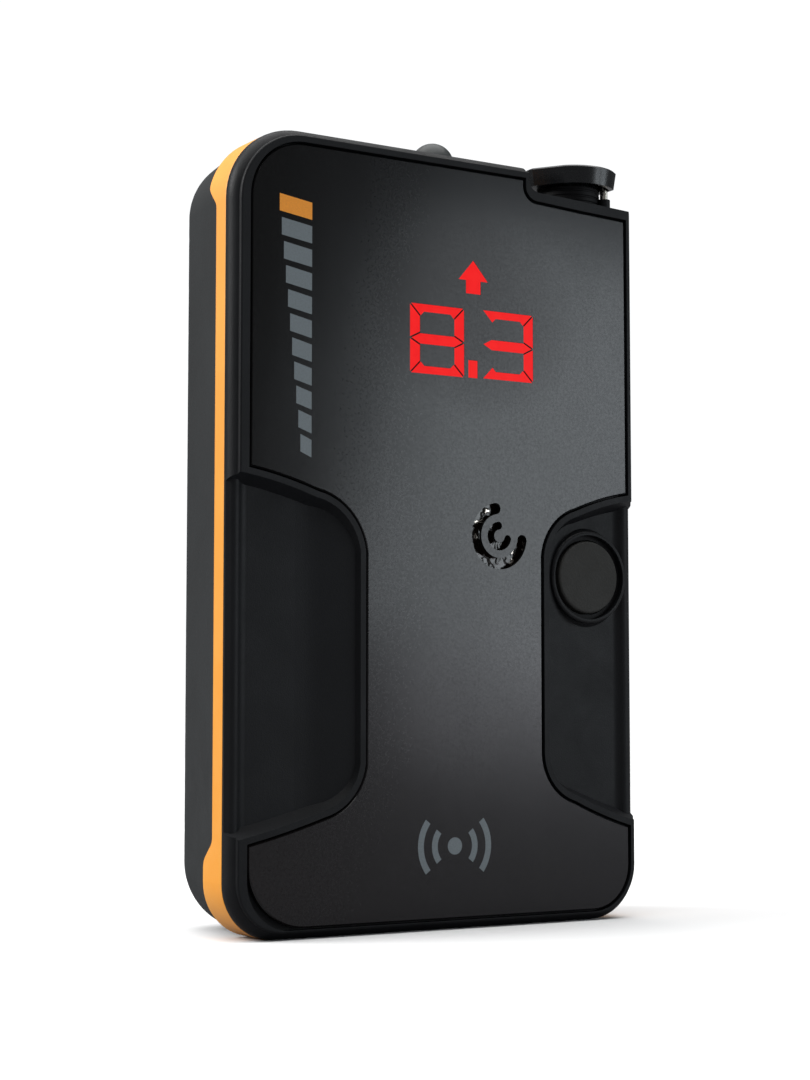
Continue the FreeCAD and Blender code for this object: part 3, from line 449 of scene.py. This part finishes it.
def strip(x0, z0, x1, z1, wide):
    """Straight line of a given width between two points."""
    reach = math.hypot(x1 - x0, z1 - z0)
    side_x = (z1 - z0) / reach * wide / 2
    side_z = (x0 - x1) / reach * wide / 2
    return [(x0 + side_x, z0 + side_z), (x1 + side_x, z1 + side_z),
            (x1 - side_x, z1 - side_z), (x0 - side_x, z0 - side_z)]


GREY_INK = printed_ink("grey_ink", (0.155, 0.185, 0.20))
ORANGE_INK = printed_ink("orange_ink", (1.0, 0.34, 0.015))
LABEL_INK = printed_ink("label_ink", (0.03, 0.03, 0.032))

# slanted signal-strength scale up the left of the plate
SCALE_LEFT = -28.3
SCALE_WIDE = 5.3
SCALE_LOW = 67.6
SCALE_STEP = 3.42
SCALE_BARS = 11
SHORTEST = 0.34
GROWTH = 0.066
BAR_HIGH = 2.5
SLANT = 0.75
bars = []
bar_right = SCALE_LEFT + SCALE_WIDE
for i in range(SCALE_BARS):
    z = SCALE_LOW + SCALE_STEP * i
    bar_left = bar_right - SCALE_WIDE * (SHORTEST + GROWTH * i)
    bars.append([(bar_left, z + SLANT), (bar_right, z),
                 (bar_right, z + BAR_HIGH), (bar_left, z + BAR_HIGH + SLANT)])
ink_y = PLATE_FRONT - INK_LIFT
flat_print("signal_scale_print", bars[:-1], ink_y, -1, GREY_INK, "housing")
flat_print("signal_peak_print", bars[-1:], ink_y, -1, ORANGE_INK, "housing")

# beacon sign: a dot between two pairs of arcs
SIGN_X = 1.3
SIGN_Z = 12.1
DOT_R = 1.25
ARC_RADII = (3.0, 5.4)
ARC_WIDE = 1.0
ARC_HALF_ANGLE = 38
sign = disc(SIGN_X, SIGN_Z, DOT_R)
for radius in ARC_RADII:
    for aim in (0, 180):
        sign += ring_strip(SIGN_X, SIGN_Z, radius, radius + ARC_WIDE,
                           aim - ARC_HALF_ANGLE, aim + ARC_HALF_ANGLE)
flat_print("beacon_sign_print", sign, ink_y, -1, GREY_INK, "housing")

# black mask on the mitred joints between the lit bars
BLACK_INK = printed_ink("mask_ink", (0.004, 0.003, 0.003), specular=0.06)
LIT_BAR_WIDE = 1.7
JOINT_WIDE = 0.18
JOINT_START = 0.22
# each digit's left, bottom, width and height, and the sides whose upright bars are lit (0 left, 1 right)
DIGITS = ((-6.4, 81.25, 9.5, 10.3, (0, 1)), (6.4, 81.4, 9.3, 10.3, (1,)))
joints = []
for left, low, wide, high, sides in DIGITS:
    middle = low + high / 2
    for side in sides:
        edge = left + wide * side
        inward = 1 - 2 * side
        for start, rise in ((low, 1.0), (low + high, -1.0), (middle, 0.5), (middle, -0.5)):
            joints.append(strip(edge + inward * JOINT_START, start + rise * JOINT_START,
                                edge + inward * LIT_BAR_WIDE, start + rise * LIT_BAR_WIDE,
                                JOINT_WIDE))
flat_print("digit_joint_print", joints, ink_y, -1, BLACK_INK, "housing")

# rear label: two rules with a pattern of upright bars between them
RULE_HEIGHTS = (81.0, 96.0)
RULE_REACH = 19
RULE_HALF = 0.1
PATTERN_LEFT = -17.0
PATTERN_RIGHT = -1.0
PATTERN_LOW = 83.0
PATTERN_HIGH = 90.0
label_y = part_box("rear_label")[1][1] + INK_LIFT
rules = [upright_box(-RULE_REACH, z - RULE_HALF, RULE_REACH, z + RULE_HALF) for z in RULE_HEIGHTS]
x = PATTERN_LEFT
while x < PATTERN_RIGHT:
    wide = random.choice((0.25, 0.4, 0.7))
    rules.append(upright_box(x, PATTERN_LOW, x + wide, PATTERN_HIGH))
    x += wide + random.choice((0.3, 0.5))
flat_print("rear_label_print", rules, label_y, 1, LABEL_INK, "housing")

# ---- return spring of the option key ------------------------------------------------


def coil_mesh(name, centre, radius, wire, y0, y1, turns=3, per_turn=36, sides=10):
    """Round wire wound about Y from y0 to y1, closed at both ends."""
    mesh = bpy.data.meshes.new(name)
    work = bmesh.new()
    rings = []
    count = turns * per_turn
    for i in range(count + 1):
        turn = 2 * math.pi * i / per_turn
        outward = Vector((math.cos(turn), 0.0, math.sin(turn)))
        middle = Vector((centre[0], y0 + (y1 - y0) * i / count, centre[1])) + outward * radius
        ring = []
        for j in range(sides):
            a = 2 * math.pi * j / sides
            around = outward * math.cos(a) + Vector((0, math.sin(a), 0))
            ring.append(work.verts.new(middle + around * wire))
        rings.append(ring)
    for before, after in zip(rings, rings[1:]):
        for j in range(sides):
            k = (j + 1) % sides
            work.faces.new((before[j], before[k], after[k], after[j]))
    work.faces.new(rings[0])
    work.faces.new(rings[-1])
    bmesh.ops.recalc_face_normals(work, faces=work.faces)
    for face in work.faces:
        face.smooth = len(face.verts) == 4
    work.to_mesh(mesh)
    work.free()
    return mesh


KEY_WIRE = 0.22 * MM
spring_low, spring_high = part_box("button_spring")
spring_middle = ((spring_low[0] + spring_high[0]) / 2, (spring_low[2] + spring_high[2]) / 2)
spring_radius = (spring_high[0] - spring_low[0]) / 2 - KEY_WIRE
spring_mesh = coil_mesh("key_return_spring", spring_middle, spring_radius, KEY_WIRE,
                        spring_low[1] + KEY_WIRE, spring_high[1] - KEY_WIRE)
spring_mesh.materials.append(FINISH["spring_steel"])
spring = bpy.data.objects.new("key_return_spring", spring_mesh)
bpy.context.collection.objects.link(spring)
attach(spring, "housing")
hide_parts("button_spring")
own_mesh(spring)

# ---- floor, light and camera -------------------------------------------------------


FLOOR_HALF = 60.0


def floor():
    """Pale paper floor out to the horizon; it throws little light back at the object."""
    mesh = bpy.data.meshes.new("paper_floor")
    work = bmesh.new()
    bmesh.ops.create_grid(work, x_segments=8, y_segments=8, size=FLOOR_HALF)
    work.to_mesh(mesh)
    work.free()
    obj = bpy.data.objects.new("paper_floor", mesh)
    bpy.context.collection.objects.link(obj)
    g = Graph("floor_paper")
    paper = g.blend(g.noise(3, 2), (0.90, 0.90, 0.90), (0.92, 0.92, 0.92))
    seen = g.nodes.new("ShaderNodeLightPath").outputs["Is Camera Ray"]
    g.put(g.shader.inputs["Base Color"], g.blend(seen, (0.30, 0.30, 0.31), paper))
    g.shader.inputs["Roughness"].default_value = 0.9
    g.shader.inputs["Specular IOR Level"].default_value = 0.02
    mesh.materials.append(g.material)


floor()

AIM = (0.0, 0.0, 0.06)


def softbox(name, place, wide, high, power, colour=(1, 1, 1), roll=0.0):
    """Rectangular soft light turned to the object's middle, rolled by some degrees about its aim."""
    light = bpy.data.lights.new(name, "AREA")
    light.shape = "RECTANGLE"
    light.size = wide
    light.size_y = high
    light.energy = power
    light.color = colour
    obj = bpy.data.objects.new(name, light)
    bpy.context.collection.objects.link(obj)
    obj.location = place
    facing = (Vector(AIM) - Vector(place)).to_track_quat("-Z", "Y")
    obj.rotation_euler = (facing @ Quaternion((0, 0, 1), math.radians(roll))).to_euler()


# the first lights the side and the floor; the next two show as a soft sheen in the plate, the last
# on the knob's rim
softbox("left_soft", (-0.62, 0.25, 0.46), 0.40, 0.45, 5.35)
softbox("right_soft", (0.486, -0.655, 0.166), 0.180, 0.225, 0.58, (0.88, 0.95, 1.0), roll=-14)
softbox("low_soft", (0.488, -0.655, 0.037), 0.165, 0.062, 0.10, (0.92, 0.93, 1.0))
softbox("edge_soft", (0.70, -0.48, 0.185), 0.24, 0.20, 0.62, (0.86, 0.95, 1.0))

CEILING_POWER = 3.3
CEILING_SPREAD = 80
ceiling = bpy.data.lights.new("ceiling", "SUN")
ceiling.energy = CEILING_POWER
ceiling.angle = math.radians(CEILING_SPREAD)
bpy.context.collection.objects.link(bpy.data.objects.new("ceiling", ceiling))

# seen directly the studio is white; for light and reflections it is a dim, even grey
STUDIO_LIGHT = 0.13
STUDIO_SEEN = 1.05
world = bpy.data.worlds.new("studio")
bpy.context.scene.world = world
world.use_nodes = True
tree = world.node_tree
glow = tree.nodes["Background"]
path = tree.nodes.new("ShaderNodeLightPath")
level = tree.nodes.new("ShaderNodeMapRange")
level.inputs["To Min"].default_value = STUDIO_LIGHT
level.inputs["To Max"].default_value = STUDIO_SEEN
tree.links.new(path.outputs["Is Camera Ray"], level.inputs["Value"])
tree.links.new(level.outputs["Result"], glow.inputs["Strength"])
glow.inputs["Color"].default_value = (0.98, 0.99, 1.0, 1)

CAMERA_PLACE = (-0.17158, -0.27401, 0.0323)
CAMERA_TURN = (94.49, 0.0, -32.20)
CAMERA_LENS = 70.9
camera = bpy.data.cameras.new("camera")
camera.lens = CAMERA_LENS
camera.clip_start = 0.01
camera_object = bpy.data.objects.new("camera", camera)
bpy.context.collection.objects.link(camera_object)
camera_object.location = CAMERA_PLACE
camera_object.rotation_euler = [math.radians(turn) for turn in CAMERA_TURN]
bpy.context.scene.camera = camera_object
bpy.context.scene.view_settings.view_transform = "Standard"
